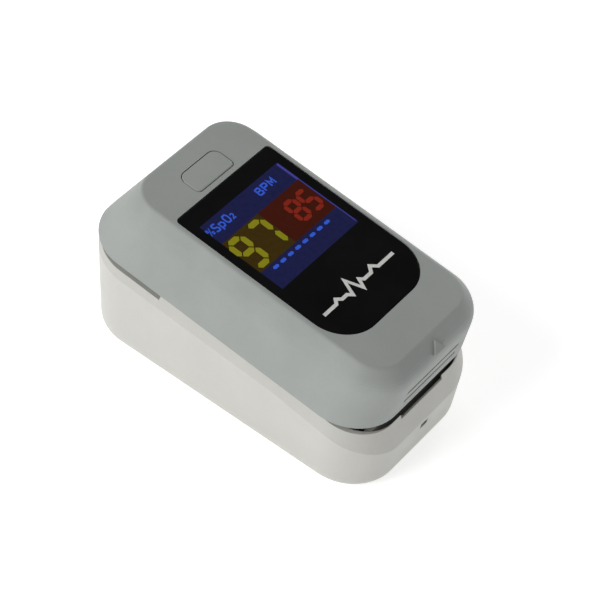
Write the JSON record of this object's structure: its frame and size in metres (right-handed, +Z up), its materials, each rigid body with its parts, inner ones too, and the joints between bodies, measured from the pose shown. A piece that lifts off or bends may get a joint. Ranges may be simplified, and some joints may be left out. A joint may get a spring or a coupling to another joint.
{
  "type": "fingertip pulse oximeter",
  "caption": "Clip-on fingertip pulse oximeter: grey display half over a white battery half, sprung on a cross pin, with a push button and a finger channel.",
  "frame": {"origin": "Centre of the bounding box at the level of the flat underside", "axes": "+Z up from the underside, +Y toward the finger entry, -Y toward the squeeze end, +X to the right when the display reads upright"},
  "size_m": [0.0342, 0.0591, 0.0313],
  "materials": {
    "shell_white": "satin moulded ABS, fine texture",
    "shell_grey": "matte moulded ABS, fine texture",
    "window_black": "polished black acrylic",
    "display_glass": "thin display glass",
    "frame_black": "moulded inner frame, dark grey",
    "silicone_dark": "soft matte silicone",
    "optic_clear": "tinted clear optical window",
    "led_lens": "moulded emitter package",
    "chip_black": "moulded epoxy package",
    "circuit_board": "solder mask on glass laminate",
    "connector_ivory": "moulded connector body",
    "flex_amber": "polyimide ribbon",
    "battery_wrap": "plain dark battery sleeve, steel ends",
    "contact_nickel": "nickel-plated spring contact",
    "spring_steel": "drawn spring wire",
    "screw_steel": "zinc-plated screw",
    "pin_steel": "ground steel pin"
  },
  "bodies": {
    "lower_case": {"lower_shell": "shell_white", "battery_left": "battery_wrap", "battery_right": "battery_wrap", "contact_bridge": "contact_nickel", "contact_positive": "contact_nickel", "contact_negative": "contact_nickel", "contact_spring_left": "spring_steel", "contact_spring_right": "spring_steel", "lower_frame": "frame_black", "lower_pad": "silicone_dark", "sensor_window": "optic_clear", "photodiode": "chip_black", "sensor_board": "circuit_board", "lower_screws": "screw_steel", "hinge_pin": "pin_steel", "spring_left": "spring_steel", "spring_right": "spring_steel", "flex_cable": "flex_amber"},
    "upper_case": {"upper_shell": "shell_grey", "display_window": "window_black", "display_module": "display_glass", "main_board": "circuit_board", "controller_chip": "chip_black", "button_switch": "contact_nickel", "upper_frame": "frame_black", "upper_pad": "silicone_dark", "led_window": "optic_clear", "led_emitter": "led_lens", "upper_screws": "screw_steel", "board_screws": "screw_steel", "flex_connector": "connector_ivory"},
    "button": {"power_button": "shell_grey"},
    "battery_door": {"battery_cover": "shell_white"}
  },
  "joints": [
    {"name": "jaw_hinge", "type": "hinge", "parent": "lower_case", "child": "upper_case", "pos_m": [0, -0.01229, 0.01652], "axis": [1, 0, 0], "range_deg": [0, 7], "stiffness_Nm_per_rad": 0.25, "springref_deg": -8.59, "deforming": ["spring_left", "spring_right", "flex_cable"]},
    {"name": "button_press", "type": "slide", "parent": "upper_case", "child": "button", "axis": [0, 0.0985, -0.9951], "range_m": [0, 0.00035], "stiffness_N_per_m": 2500, "springref_m": -0.0001},
    {"name": "battery_door_release", "type": "slide", "parent": "lower_case", "child": "battery_door", "axis": [0, 0, -1], "range_m": [0, 0.012]}
  ]
}
